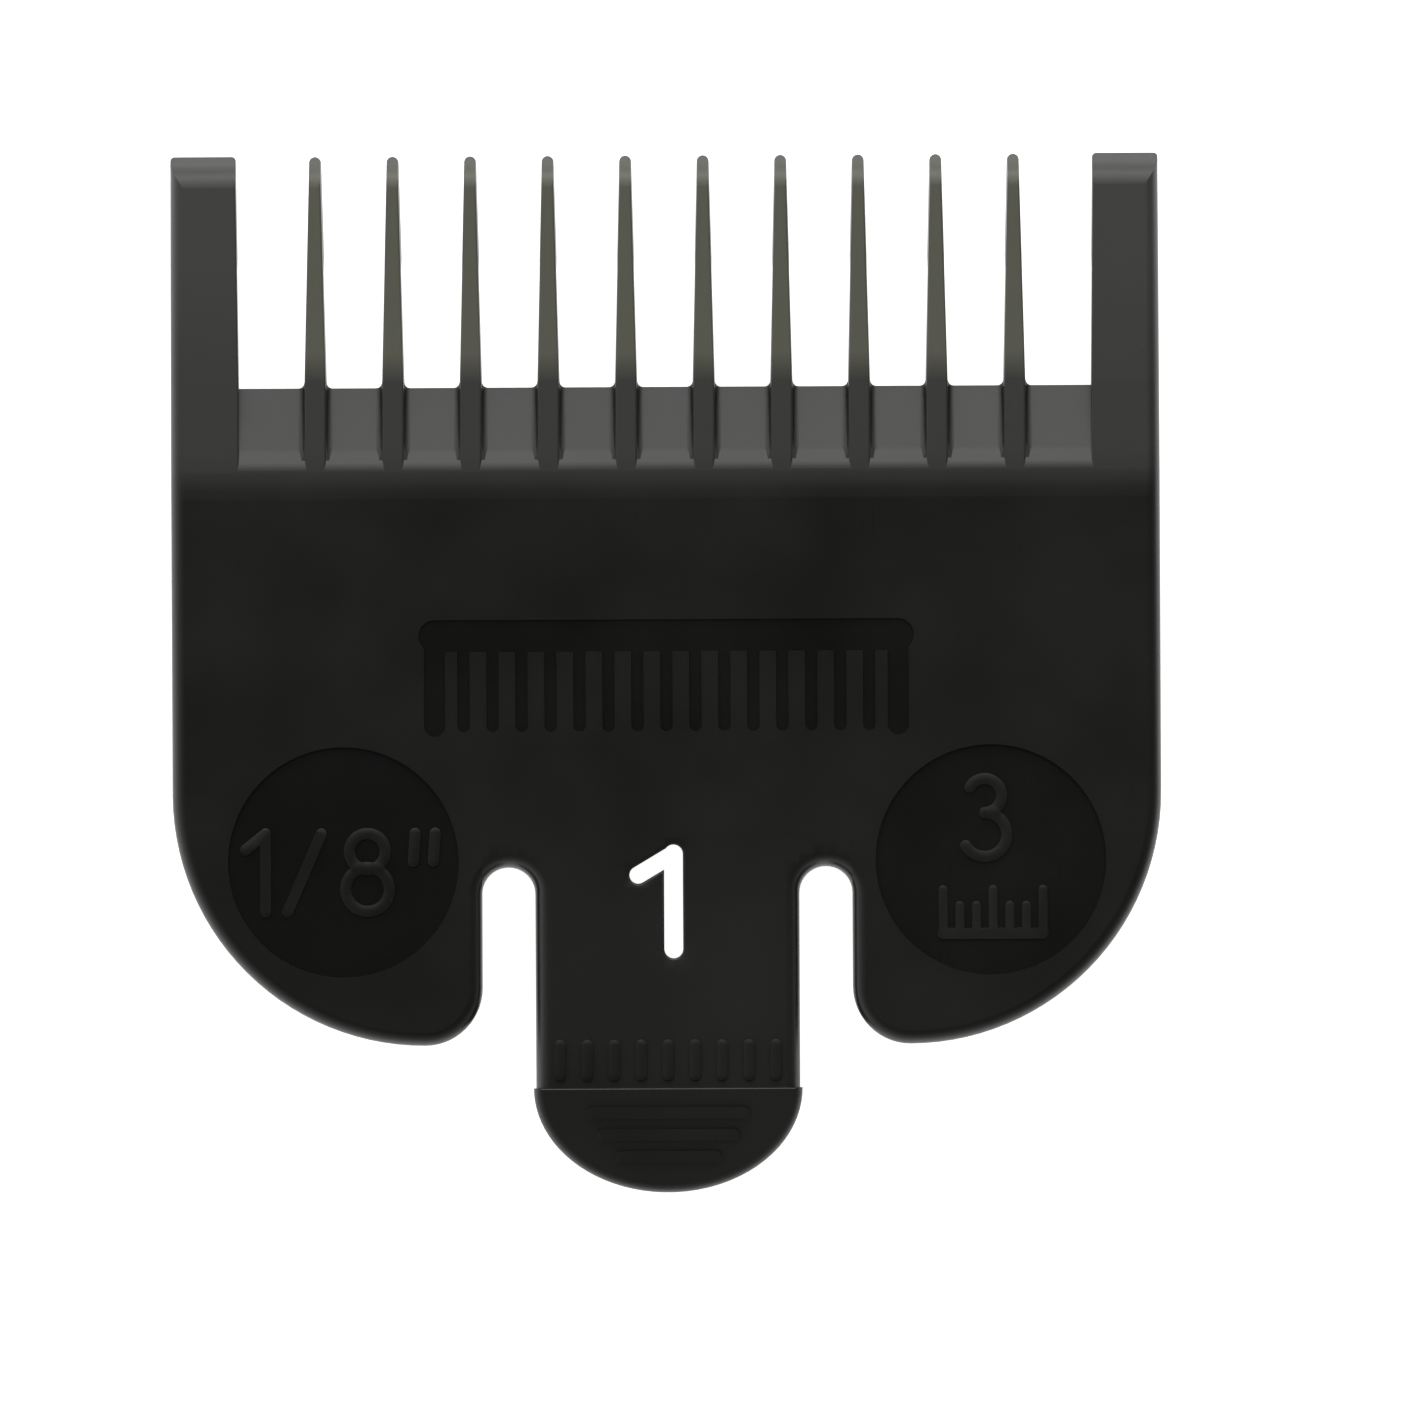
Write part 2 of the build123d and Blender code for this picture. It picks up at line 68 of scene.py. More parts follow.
TOP = ROOT_HI[2]
SEAT = ROOT_LO[2]
ROOT_SEAM = ROOT_HI[1]
SLOT_OUT = ROOT_HI[0]
TAB_HALF = TONGUE_HI[0]
STEP_Y = TONGUE_LO[1]
TAB_BOTTOM = TONGUE_LO[2]
BEND_Y = PLATE_HI[1]
SEAM_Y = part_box("tooth_05")[0][1]


# ---------------------------------------------------------------- materials

# Sockets of the colour mix node by index, because several share a name.
MIX_FACTOR, MIX_A, MIX_B, MIX_RESULT = 0, 6, 7, 2


class Graph:
    """A small helper to write the node graph of a material or world in few lines."""

    def __init__(self, owner):
        owner.use_nodes = True
        self.tree = owner.node_tree
        self.tree.nodes.clear()

    def add(self, kind, inputs=None, **settings):
        """A new node; each input takes a plain value or the socket it is linked to."""
        node = self.tree.nodes.new(kind)
        for key, value in settings.items():
            setattr(node, key, value)
        for key, value in (inputs or {}).items():
            if isinstance(value, bpy.types.NodeSocket):
                self.tree.links.new(value, node.inputs[key])
            else:
                node.inputs[key].default_value = value
        return node

    def place(self, stretch=(1, 1, 1)):
        """Object coordinates, stretched."""
        coords = self.add("ShaderNodeTexCoord").outputs["Object"]
        return self.add("ShaderNodeMapping", {
            "Vector": coords, "Scale": stretch}).outputs["Vector"]

    def split(self, vector):
        """The X, Y and Z of a vector."""
        return self.add("ShaderNodeSeparateXYZ", {"Vector": vector}).outputs

    def noise(self, scale, stretch=(1, 1, 1), detail=3.0, rough=0.5):
        return self.add("ShaderNodeTexNoise", {
            "Vector": self.place(stretch), "Scale": scale, "Detail": detail,
            "Roughness": rough}).outputs["Fac"]

    def remap(self, value, source, target=(0.0, 1.0)):
        """A value brought from one (low, high) range to another, and held inside it."""
        return self.add("ShaderNodeMapRange", {
            "Value": value, "From Min": source[0], "From Max": source[1],
            "To Min": target[0], "To Max": target[1]}).outputs["Result"]

    def maths(self, operation, a, b):
        return self.add("ShaderNodeMath", {0: a, 1: b}, operation=operation).outputs["Value"]

    def times(self, a, b):
        return self.maths("MULTIPLY", a, b)

    def mix(self, factor, a, b):
        inputs = {MIX_FACTOR: factor, MIX_A: a, MIX_B: b}
        return self.add("ShaderNodeMix", inputs, data_type="RGBA").outputs[MIX_RESULT]

    def bump(self, height, strength, depth, **inputs):
        return self.add("ShaderNodeBump", {
            "Height": height, "Strength": strength, "Distance": depth,
            **inputs}).outputs["Normal"]


# Patterns in the nylon. Scales are per metre, and ranges are where a noise fades in.
MOTTLE_SCALE = 170.0
DRIFT_SCALE = 45.0
DRIFT_STRETCH = (1, 0.6, 1)
GRAIN_SCALE = 5200.0
FADE_RANGE = (0.35, 0.65)
MOTTLE_ROUGH_RANGE = (0.3, 0.7)

# Hairline marks along the teeth and, fainter, across them.
ALONG_SCALE = 260.0
ALONG_STRETCH = (7.0, 0.35, 1.0)
ALONG_RANGE = (0.66, 0.70)
CROSS_SCALE = 240.0
CROSS_STRETCH = (0.3, 6.0, 1.0)
CROSS_RANGE = (0.68, 0.72)
CROSS_LEVEL = 0.7
HAIR_DETAIL = 5.0
HAIR_ROUGH = 0.6

# Specks of dust, gathered in patches.
SPECK_SCALE = 620.0
SPECK_RANGE = (0.10, 0.05)
PATCH_SCALE = 210.0
PATCH_RANGE = (0.60, 0.66)

# How far each pattern changes the colour and the roughness.
DARKER = (0.88, 0.88, 0.86)
LIGHTER = (1.14, 1.13, 1.10)
SCUFFED = (2.0, 2.0, 1.95)
DUSTY = (0.05, 0.05, 0.045, 1.0)
BLACK = (0.0, 0.0, 0.0, 1.0)
HAIR_COLOUR = 0.18
DUST_COLOUR = 0.35
SUNK_COLOUR = 0.55
MOTTLE_ROUGH = 0.025
DRIFT_ROUGH = 0.02
HAIR_POLISH = 0.05
SUNK_POLISH = 0.06

# Relief as strength and depth in metres.
MOTTLE_BUMP = (0.12, 0.00003)
GRAIN_BUMP = (0.22, 0.000006)
NYLON_IOR = 1.52

# Depth below the outer face, and upward slope, at which the masks fade in.
SUNK_DEPTH = (0.11 * MM, 0.18 * MM)
SUNK_SLOPE = (0.93, 0.98)
# Upward slope at which the painted highlight on the tooth crests fades in.
CREST_HIGHLIGHT_SLOPE = (0.35, 0.85)


def scaled(tone, factors=(1, 1, 1)):
    """A tone as an opaque colour, each channel times its factor."""
    return (*(t * f for t, f in zip(tone, factors)), 1.0)


def facing_up(n, slope):
    """0 to 1 as the surface turns from the first upward slope to the second."""
    normal = n.add("ShaderNodeTexCoord").outputs["Normal"]
    return n.remap(n.split(normal)["Z"], slope)


def sunk_field(n):
    """1 on the floors of the label recesses and of the engraving, 0 elsewhere."""
    height = n.split(n.place())["Z"]
    below = n.remap(height, (TOP - SUNK_DEPTH[0], TOP - SUNK_DEPTH[1]))
    return n.times(below, facing_up(n, SUNK_SLOPE))


def hairlines(n):
    """Above 0 on fine marks left by use, 0 elsewhere."""
    along = n.noise(ALONG_SCALE, ALONG_STRETCH, HAIR_DETAIL, HAIR_ROUGH)
    cross = n.noise(CROSS_SCALE, CROSS_STRETCH, HAIR_DETAIL, HAIR_ROUGH)
    return n.maths("ADD", n.remap(along, ALONG_RANGE),
                   n.remap(cross, CROSS_RANGE, (0.0, CROSS_LEVEL)))


def dust_field(n):
    """1 on specks of dust, 0 elsewhere."""
    specks = n.add("ShaderNodeTexVoronoi", {"Vector": n.place(), "Scale": SPECK_SCALE})
    return n.times(n.remap(specks.outputs["Distance"], SPECK_RANGE),
                   n.remap(n.noise(PATCH_SCALE, detail=1.0), PATCH_RANGE))


def nylon(name, tone, roughness, grain=1.0, wear=1.0, sunk=False, painted_light=None, crest_highlight=False):
    """Black moulded nylon: satin, faintly mottled, with fine grain, hairline marks and dust.

    With sunk, the floors of recesses are darker. The painted light, as (tone, start, end), turns
    the colour into that paler tone between two Y values, standing for light; the crest option
    keeps it to where the surface faces up, as a painted highlight.
    """
    material = bpy.data.materials.new(name)
    n = Graph(material)
    mottle = n.noise(MOTTLE_SCALE, detail=4.0)
    drift = n.noise(DRIFT_SCALE, DRIFT_STRETCH, detail=2.0)
    hair = hairlines(n)
    dust = dust_field(n)

    colour = n.mix(n.remap(mottle, FADE_RANGE), scaled(tone, DARKER), scaled(tone, LIGHTER))
    # Painted light: a paler tone along Y stands for light falling there; on crests only where
    # facing up, a painted highlight.
    if painted_light:
        lit_tone, start, end = painted_light
        reach = n.remap(n.split(n.place())["Y"], (start, end))
        if crest_highlight:
            reach = n.times(reach, facing_up(n, CREST_HIGHLIGHT_SLOPE))
        colour = n.mix(reach, colour, scaled(lit_tone))
    colour = n.mix(n.times(hair, HAIR_COLOUR * wear), colour, scaled(tone, SCUFFED))
    colour = n.mix(n.times(dust, DUST_COLOUR * wear), colour, DUSTY)

    rough = n.remap(mottle, MOTTLE_ROUGH_RANGE,
                    (roughness - MOTTLE_ROUGH, roughness + MOTTLE_ROUGH))
    rough = n.maths("ADD", rough, n.remap(drift, FADE_RANGE, (-DRIFT_ROUGH, DRIFT_ROUGH)))
    rough = n.maths("SUBTRACT", rough, n.times(hair, HAIR_POLISH * wear))
    if sunk:
        field = sunk_field(n)
        colour = n.mix(n.times(field, SUNK_COLOUR), colour, BLACK)
        rough = n.maths("SUBTRACT", rough, n.times(field, SUNK_POLISH))

    fine = n.noise(GRAIN_SCALE, detail=2.0)
    low = n.bump(mottle, *MOTTLE_BUMP)
    high = n.bump(fine, GRAIN_BUMP[0] * grain, GRAIN_BUMP[1], Normal=low)
    shader = n.add("ShaderNodeBsdfPrincipled", {
        "Base Color": colour, "Roughness": rough, "Normal": high, "IOR": NYLON_IOR})
    n.add("ShaderNodeOutputMaterial", {"Surface": shader.outputs["BSDF"]})
    return material


# Base colours, fitted to the photo under the light below; MARK_TONE is just given.
TONE = (0.0040, 0.0044, 0.0029)
# Paler tones below stand for light: painted light on tab, web, teeth and tips, painted highlight
# on crests.
TAB_PAINTED_LIGHT_TONE = (0.0080, 0.0084, 0.0066)
WEB_AND_TEETH_PAINTED_LIGHT_TONE = (0.0160, 0.0163, 0.0134)
TIP_PAINTED_LIGHT_TONE = (0.0255, 0.0258, 0.0215)
CREST_PAINTED_HIGHLIGHT_TONE = (0.0780, 0.0790, 0.0550)
MARK_TONE = (0.0065, 0.0068, 0.0056)
# Each fade of painted light: (tone, start Y, end Y).
TAB_PAINTED_LIGHT = (TAB_PAINTED_LIGHT_TONE, ROOT_SEAM, ROOT_SEAM - 4 * MM)
WEB_PAINTED_LIGHT = (WEB_AND_TEETH_PAINTED_LIGHT_TONE, BEND_Y + 0.4 * MM, BEND_Y + 2.4 * MM)
TIP_PAINTED_LIGHT = (TIP_PAINTED_LIGHT_TONE, SEAM_Y, SEAM_Y + 6 * MM)
CREST_PAINTED_HIGHLIGHT = (CREST_PAINTED_HIGHLIGHT_TONE, SEAM_Y, SEAM_Y + 1.4 * MM)

FACE = nylon("nylon_outer_face", TONE, roughness=0.32, wear=0.4, sunk=True)
# Tab, web and teeth materials carry painted light, and the teeth a painted highlight on their
# crests.
TAB = nylon("nylon_tab_painted_light", TONE, roughness=0.32, wear=0.4, painted_light=TAB_PAINTED_LIGHT)
WEB = nylon("nylon_web_painted_light", TONE, roughness=0.33, wear=0.4, painted_light=WEB_PAINTED_LIGHT)
END_TEETH = nylon("nylon_end_teeth_painted_light", WEB_AND_TEETH_PAINTED_LIGHT_TONE, roughness=0.36, wear=0.5, painted_light=TIP_PAINTED_LIGHT)
TEETH = nylon("nylon_teeth_painted_light", WEB_AND_TEETH_PAINTED_LIGHT_TONE, roughness=0.36, wear=0.5, painted_light=CREST_PAINTED_HIGHLIGHT, crest_highlight=True)
BLADE_SIDE = nylon("nylon_blade_side", TONE, roughness=0.46, grain=1.6, wear=1.6)
MARKS = nylon("nylon_raised_marks", MARK_TONE, roughness=0.30, grain=0.6)


def dress(obj, material):
    obj.data.materials.clear()
    obj.data.materials.append(material)


def node_material(name):
    if name.startswith(("tooth_0", "tooth_1")):
        return TEETH
    if name.startswith("end_tooth"):
        return END_TEETH
    if name == "tooth_web":
        return WEB
    if name == "thumb_pad":
        return TAB
    if name.startswith(("corner_claw", "side_rail", "blade_catch")):
        return BLADE_SIDE
    if name.startswith("size_mark") or name == "grip_marks":
        return MARKS
    return FACE


for name, obj in frame["nodes"].items():
    dress(obj, node_material(name))


# ---------------------------------------------------------------- new pieces

def linked(name, data):
    """A new object in the scene."""
    obj = bpy.data.objects.new(name, data)
    bpy.context.collection.objects.link(obj)
    return obj


def meshed(name, bm):
    """A new object in the scene from a bmesh, which is freed."""
    mesh = bpy.data.meshes.new(name)
    bm.to_mesh(mesh)
    bm.free()
    return linked(name, mesh)


# ---------------------------------------------------------------- soft edges on sharp parts

WELD_GAP = 0.000002
EDGE_SEGMENTS = 3
EDGE_ANGLE = math.radians(40)
MARK_EDGE = 0.00008
CATCH_EDGE = 0.00015


def soften(obj, width):
    """Rounds the sharp edges of a part as moulding does, without changing its own mesh."""
    weld = obj.modifiers.new("weld", "WELD")
    weld.merge_threshold = WELD_GAP
    bevel = obj.modifiers.new("bevel", "BEVEL")
    bevel.width = width
    bevel.segments = EDGE_SEGMENTS
    bevel.limit_method = "ANGLE"
    bevel.angle_limit = EDGE_ANGLE
    bevel.harden_normals = False
    normals = obj.modifiers.new("normals", "WEIGHTED_NORMAL")
    normals.keep_sharp = False


for name in ("size_mark_inch", "size_mark_mm", "grip_marks"):
    soften(frame["nodes"][name], MARK_EDGE)
soften(frame["nodes"]["blade_catch"], CATCH_EDGE)


# ---------------------------------------------------------------- skin of the tab

RIM_R = 0.65 * MM
HOLE_RIM_R = 0.10 * MM
UNDER_RIM_R = 0.10 * MM
SLOT_R = (SLOT_OUT - TAB_HALF) / 2
SLOT_X = (SLOT_OUT + TAB_HALF) / 2
SLOT_Y = -11.03 * MM
THIN_FROM = -10.2 * MM
THIN_TO = -11.6 * MM
NUMERAL_X = 0.31 * MM
NUMERAL_TOP = -9.05 * MM
NUMERAL_BOTTOM = -13.8 * MM
NUMERAL_R = 0.47 * MM
FLAG_X = -1.46 * MM
FLAG_Y = -10.1 * MM
FLAG_R = 0.4324 * MM
SPARE = 1.5 * MM              # cut away again at the seams
ARC_STEP = math.radians(9)
CREASE_ANGLE = math.radians(50)
RIM_STEPS = 5
UNDER_RIM_STEPS = 2
MITRE_LIMIT = 0.5             # keeps an inset corner from running away
GRID_Y = 0.45 * MM
GRID_X = GRID_Y * 1.5
SEAM_TRIM = 1e-6
CUT_TOLERANCE = 1e-8
CAP_TOLERANCE = 1e-7
INSIDE_ONLY = 1               # the triangulation leaves out what is outside the edges


def arc(centre, radius, start, end):
    """Points on an arc, angles in radians, either way round."""
    count = max(2, round(abs(end - start) / ARC_STEP))
    angles = [start + (end - start) * i / count for i in range(count + 1)]
    return [(centre[0] + radius * math.cos(a), centre[1] + radius * math.sin(a)) for a in angles]


def tab_outline():
    """Outline of tab and root, anticlockwise, with spare length beyond the seams."""
    right = [(TAB_HALF, STEP_Y - SPARE)]
    right += arc((SLOT_X, SLOT_Y), SLOT_R, math.pi, 0)
    right += [(SLOT_OUT, SLOT_Y - SPARE), (SLOT_OUT + SPARE, SLOT_Y - SPARE),
              (SLOT_OUT + SPARE, ROOT_SEAM + SPARE)]
    return right + [(-x, y) for x, y in reversed(right)]


def numeral_outline():
    """The figure one, clockwise: a stem and a flag with round ends."""
    top = (NUMERAL_X, NUMERAL_TOP)
    along = math.atan2(FLAG_Y - NUMERAL_TOP, FLAG_X - NUMERAL_X)
    upper = along - math.pi / 2
    lean = math.acos(FLAG_R / NUMERAL_R)
    left = NUMERAL_X - NUMERAL_R
    reach = (left - NUMERAL_X - FLAG_R * math.cos(upper + math.pi)) / math.cos(along)
    notch_y = NUMERAL_TOP + FLAG_R * math.sin(upper + math.pi) + reach * math.sin(along)
    around = arc((NUMERAL_X, NUMERAL_BOTTOM), NUMERAL_R, math.pi, 2 * math.pi)
    around += arc(top, NUMERAL_R, 0, upper + 2 * math.pi + lean)
    around += arc((FLAG_X, FLAG_Y), FLAG_R, upper + 2 * math.pi, upper + 3 * math.pi)
    around.append((left, notch_y))
    return list(reversed(around))


def inset(loop, distance):
    """The loop moved into the material, which lies on its left."""
    moved = []
    for i, (x, y) in enumerate(loop):
        before = Vector(loop[i - 1])
        after = Vector(loop[(i + 1) % len(loop)])
        here = Vector((x, y))
        one = (here - before).normalized()
        two = (after - here).normalized()
        normal = Vector((-one.y - two.y, one.x + two.x)).normalized()
        stretch = 1 / max(MITRE_LIMIT, normal.dot(Vector((-one.y, one.x))))
        moved.append(here + normal * distance * stretch)
    return [(p.x, p.y) for p in moved]


def rounding(radius, steps):
    """(inset, drop) pairs from the flat face round to the side wall."""
    turns = [math.pi / 2 * i / steps for i in range(steps + 1)]
    return [(radius * (1 - math.sin(t)), radius * (1 - math.cos(t))) for t in turns]


def wall_levels(radius):
    """Inset and height of each ring of the wall, from the outer face to the blade side."""
    upper = [(d, TOP - drop) for d, drop in rounding(radius, RIM_STEPS)]
    middle = [(0.0, TOP - (TOP - TAB_BOTTOM) * 0.5)]
    under = rounding(UNDER_RIM_R, UNDER_RIM_STEPS)
    return upper + middle + [(d, TAB_BOTTOM + drop) for d, drop in reversed(under)]


def inside(point, ring):
    """Whether a point lies inside a ring of vertices."""
    hit = False
    for i, v in enumerate(ring):
        a, b = v.co, ring[i - 1].co
        if (a.y > point.y) != (b.y > point.y):
            if point.x < a.x + (point.y - a.y) / (b.y - a.y) * (b.x - a.x):
                hit = not hit
    return hit


def cap(bm, rings, height, up):
    """Flat face inside the outer ring and outside the hole, with a grid of points inside it."""
    points, edges = [], []
    for ring in rings:
        first = len(points)
        points += [Vector(v.co.xy) for v in ring]
        edges += [(first + i, first + (i + 1) % len(ring)) for i in range(len(ring))]
    fixed = len(points)
    y = min(p.y for p in points) + GRID_Y
    while y < max(p.y for p in points[:fixed]):
        x = -SLOT_OUT - SPARE + GRID_Y
        while x < SLOT_OUT + SPARE:
            points.append(Vector((x, y)))
            x += GRID_X
        y += GRID_Y
    corners, _, faces, origins, *_ = delaunay_2d_cdt(
        points, edges, [], INSIDE_ONLY, CAP_TOLERANCE)
    known = [v for ring in rings for v in ring]
    lookup = {}
    for face in faces:
        middle = sum((corners[i] for i in face), Vector((0, 0))) / len(face)
        if inside(middle, rings[1]) or not inside(middle, rings[0]):
            continue
        verts = []
        for i in face:
            if i not in lookup:
                old = [o for o in origins[i] if o < fixed]
                lookup[i] = known[old[0]] if old else bm.verts.new((*corners[i], height))
            verts.append(lookup[i])
        if not up:
            verts.reverse()
        bm.faces.new(verts)


def cut(bm, place, normal):
    """Removes what lies beyond a plane and closes the cut."""
    everything = bm.verts[:] + bm.edges[:] + bm.faces[:]
    result = bmesh.ops.bisect_plane(
        bm, geom=everything, plane_co=place, plane_no=normal, clear_outer=True,
        dist=CUT_TOLERANCE)
    rim = [e for e in result["geom_cut"] if isinstance(e, bmesh.types.BMEdge)]
    if rim:
        bmesh.ops.triangle_fill(bm, edges=rim, use_beauty=True, use_dissolve=False)


def tab_skin():
    """Tab and root as one sheet of nylon that thins where the real one bends."""
    bm = bmesh.new()
    outer_cap, under_cap = [], []
    for loop, radius in ((tab_outline(), RIM_R), (numeral_outline(), HOLE_RIM_R)):
        rings = []
        for distance, height in wall_levels(radius):
            rings.append([bm.verts.new((x, y, height)) for x, y in inset(loop, distance)])
        for above, below in zip(rings, rings[1:]):
            for i in range(len(loop)):
                bm.faces.new((above[i - 1], below[i - 1], below[i], above[i]))
        outer_cap.append(rings[0])
        under_cap.append(rings[-1])
    cap(bm, outer_cap, TOP, True)
    cap(bm, under_cap, TAB_BOTTOM, False)
    cut(bm, (0, ROOT_SEAM, 0), (0, 1, 0))
    cut(bm, (0, STEP_Y, 0), (0, -1, 0))
    cut(bm, (SLOT_OUT - SEAM_TRIM, 0, 0), (1, 0, 0))
    cut(bm, (-SLOT_OUT + SEAM_TRIM, 0, 0), (-1, 0, 0))
    for v in bm.verts:            # from the thickness of the root to that of the tab, smoothly
        t = min(max((THIN_FROM - v.co.y) / (THIN_FROM - THIN_TO), 0), 1)
        t = t * t * (3 - 2 * t)
        thick = (TOP - SEAT) + (SEAT - TAB_BOTTOM) * t
        v.co.z = TOP - (TOP - v.co.z) / (TOP - TAB_BOTTOM) * thick
    bmesh.ops.recalc_face_normals(bm, faces=bm.faces[:])
    for face in bm.faces:
        face.smooth = True
    obj = meshed("tab_skin", bm)
    obj.data.set_sharp_from_angle(angle=CREASE_ANGLE)
    return obj


skin = tab_skin()
dress(skin, TAB)
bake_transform(skin)
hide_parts("tab_root", "tab_tongue")
skin_normals = skin.modifiers.new("normals", "WEIGHTED_NORMAL")
skin_normals.keep_sharp = True


# ---------------------------------------------------------------- marks that moulding leaves

TURN_SEGMENTS = 40
PIN_R = 1.25 * MM
PIN_PROFILE = (
    (PIN_R, -0.01 * MM), (PIN_R, 0.02 * MM), (PIN_R * 0.97, 0.04 * MM),
    (PIN_R * 0.92, 0.04 * MM), (PIN_R * 0.90, 0.015 * MM), (PIN_R * 0.3, 0.012 * MM))
PIN_ROW_Y = PLATE_HI[1] - 2.0 * MM
PIN_LOW_Y = -7.5 * MM
PIN_PLACES = (
    (PLATE_HI[0] * 0.78, PIN_ROW_Y), (PLATE_HI[0] * 0.36, PIN_ROW_Y),
    (PLATE_HI[0] * 0.62, PIN_LOW_Y))
GATE_PROFILE = (
    (0.75 * MM, -0.01 * MM), (0.75 * MM, 0.05 * MM), (0.62 * MM, 0.09 * MM),
    (0.35 * MM, 0.10 * MM), (0.30 * MM, 0.16 * MM), (0.10 * MM, 0.17 * MM))
GATE_PLACE = (0, 1.0 * MM, SEAT)


def turned(name, profile, centre):
    """A round mark turned from (radius, height) points, on the blade side, facing down."""
    bm = bmesh.new()
    turns = [2 * math.pi * i / TURN_SEGMENTS for i in range(TURN_SEGMENTS)]
    rings = [[bm.verts.new((centre[0] + radius * math.cos(a), centre[1] + radius * math.sin(a),
                            centre[2] - height)) for a in turns]
             for radius, height in profile]
    for a, b in zip(rings, rings[1:]):
        for i in range(TURN_SEGMENTS):
            bm.faces.new((a[i - 1], a[i], b[i], b[i - 1]))
    bm.faces.new(rings[0])
    bm.faces.new(list(reversed(rings[-1])))
    bmesh.ops.recalc_face_normals(bm, faces=bm.faces[:])
    for face in bm.faces:
        face.smooth = len(face.verts) == 4
    obj = meshed(name, bm)
    dress(obj, BLADE_SIDE)
    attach(obj, "comb_body")


for i, (x, y) in enumerate(((x * s, y) for s in (-1, 1) for x, y in PIN_PLACES), start=1):
    turned(f"ejector_pin_mark_{i}", PIN_PROFILE, (x, y, SEAT))
turned("gate_mark", GATE_PROFILE, GATE_PLACE)


# ---------------------------------------------------------------- floor, light and camera

FLOOR_TONES = ((0.86, 0.86, 0.86, 1.0), (0.90, 0.90, 0.90, 1.0))
FLOOR_GLOW = 0.95
FLOOR_ROUGH = 0.75
CLOUD_SCALE = 9.0
PAPER_SCALE = 2500.0
PAPER_BUMP = (0.05, 0.00001)
FLOOR_HALF = 1.6
FLOOR_BEND_Y = 0.9
FLOOR_BEND_R = 0.9
FLOOR_BEND_STEPS = 12


def floor_material():
    """White sheet lit from below, as on a light table."""
    material = bpy.data.materials.new("pale_floor")
    n = Graph(material)
    colour = n.mix(n.noise(CLOUD_SCALE), *FLOOR_TONES)
    paper = n.bump(n.noise(PAPER_SCALE, detail=2.0), *PAPER_BUMP)
    shader = n.add("ShaderNodeBsdfPrincipled", {
        "Base Color": colour, "Roughness": FLOOR_ROUGH, "Normal": paper,
        "Emission Color": (1.0, 1.0, 1.0, 1.0), "Emission Strength": FLOOR_GLOW})
    n.add("ShaderNodeOutputMaterial", {"Surface": shader.outputs["BSDF"]})
    return material


def floor():
    """A wide sheet that curves up far behind the comb."""
    rows = [(-FLOOR_HALF, 0.0), (0.0, 0.0), (FLOOR_BEND_Y, 0.0)]
    for step in range(1, FLOOR_BEND_STEPS + 1):
        a = math.pi / 2 * step / FLOOR_BEND_STEPS
        rows.append((FLOOR_BEND_Y + FLOOR_BEND_R * math.sin(a), FLOOR_BEND_R * (1 - math.cos(a))))
    bm = bmesh.new()
    lines = [[bm.verts.new((x, y, z)) for x in (-FLOOR_HALF, 0.0, FLOOR_HALF)] for y, z in rows]
    for a, b in zip(lines, lines[1:]):
        for i in range(2):
            bm.faces.new((a[i], a[i + 1], b[i + 1], b[i])).smooth = True
    obj = meshed("floor", bm)
    obj.data.materials.append(floor_material())


OVERHEAD_LIGHT = 0.05
HORIZON_LIGHT = 0.9
HORIZON_POWER = 3.0
FRONT_LIGHT = 3.4
FRONT_FROM = 0.12
FRONT_POWER = 0.6
FRONT_NARROW = 1.3
FAR_LIGHT = 55.0
FAR_FROM = 0.8
SIDE_LIGHTS = (               # axis, direction, power, strength
    ("X", -1.0, 1.0, 0.30), ("X", -1.0, 2.0, 0.75), ("X", 1.0, 2.0, 0.15),
    ("Y", -1.0, 2.0, 0.70))


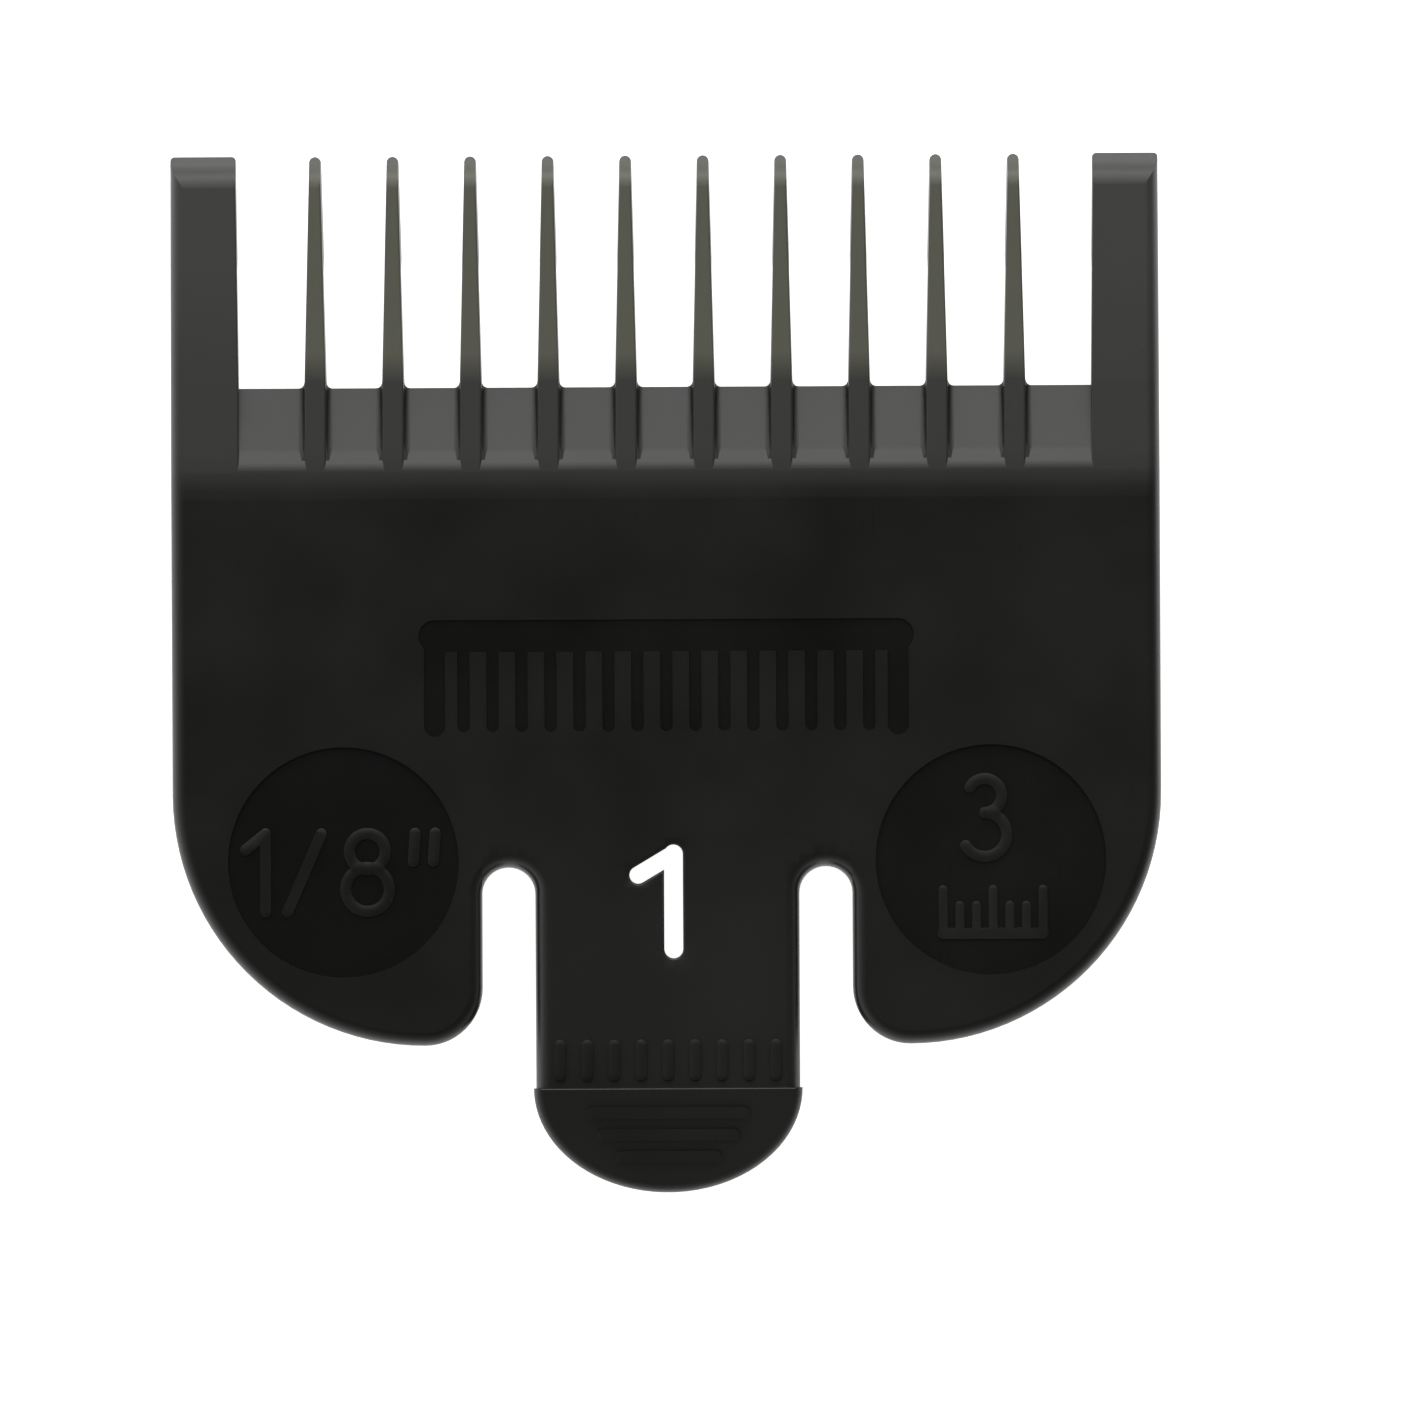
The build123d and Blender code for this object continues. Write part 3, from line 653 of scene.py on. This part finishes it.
def world():
    """Soft room light: dark overhead, pale round the horizon, brightest beyond the tooth tips."""
    studio = bpy.data.worlds.new("studio")
    n = Graph(studio)
    way = n.split(n.add("ShaderNodeTexCoord").outputs["Generated"])
    front = n.maths("MAXIMUM", n.maths("SUBTRACT", way["Y"], FRONT_FROM), 0.0)
    front = n.times(n.maths("POWER", front, FRONT_POWER), FRONT_LIGHT)
    far = n.maths("MAXIMUM", n.maths("SUBTRACT", way["Y"], FAR_FROM), 0.0)
    front = n.maths("ADD", front, n.times(far, FAR_LIGHT))
    aside = n.maths("SUBTRACT", 1.0, n.maths("ABSOLUTE", way["X"], 0.0))
    front = n.times(front, n.maths("POWER", aside, FRONT_NARROW))
    low = n.maths("SUBTRACT", 1.0, n.maths("MAXIMUM", way["Z"], 0.0))
    low = n.times(n.maths("POWER", low, HORIZON_POWER), HORIZON_LIGHT)
    level = n.maths("ADD", n.maths("ADD", front, low), OVERHEAD_LIGHT)
    for axis, sign, power, light in SIDE_LIGHTS:
        side = n.maths("MAXIMUM", n.times(way[axis], sign), 0.0)
        level = n.maths("ADD", level, n.times(n.maths("POWER", side, power), light))
    glow = n.add("ShaderNodeBackground", {"Strength": level})
    n.add("ShaderNodeOutputWorld", {"Surface": glow.outputs["Background"]})
    bpy.context.scene.world = studio


KEY_PLACE = (0.0, 0.55, 0.55)
KEY_SIZE = (1.1, 0.5)
KEY_POWER = 1.0


def key_light():
    """A long soft box beyond the tooth tips, aimed at the comb."""
    light = bpy.data.lights.new("key", "AREA")
    light.shape = "RECTANGLE"
    light.size, light.size_y = KEY_SIZE
    light.energy = KEY_POWER
    obj = linked("key", light)
    obj.location = KEY_PLACE
    obj.rotation_mode = "QUATERNION"
    obj.rotation_quaternion = (-Vector(KEY_PLACE)).to_track_quat("-Z", "Y")


VIEW_X = 1.78 * MM
VIEW_Y = -1.45 * MM
VIEW_WIDTH = 70.24 * MM
CAMERA_HEIGHT = 1.20
CAMERA_TURN = math.radians(-0.28)
NEAR_CLIP = 0.01


def photo_camera():
    """Looks straight down from far off, as in the photo."""
    camera = linked("camera", bpy.data.cameras.new("camera"))
    camera.data.lens = camera.data.sensor_width * (CAMERA_HEIGHT - TOP) / VIEW_WIDTH
    camera.data.clip_start = NEAR_CLIP
    camera.location = (VIEW_X, VIEW_Y, CAMERA_HEIGHT)
    camera.rotation_euler = (0, 0, CAMERA_TURN)
    bpy.context.scene.camera = camera
    bpy.context.scene.view_settings.view_transform = "Standard"


floor()
world()
key_light()
photo_camera()
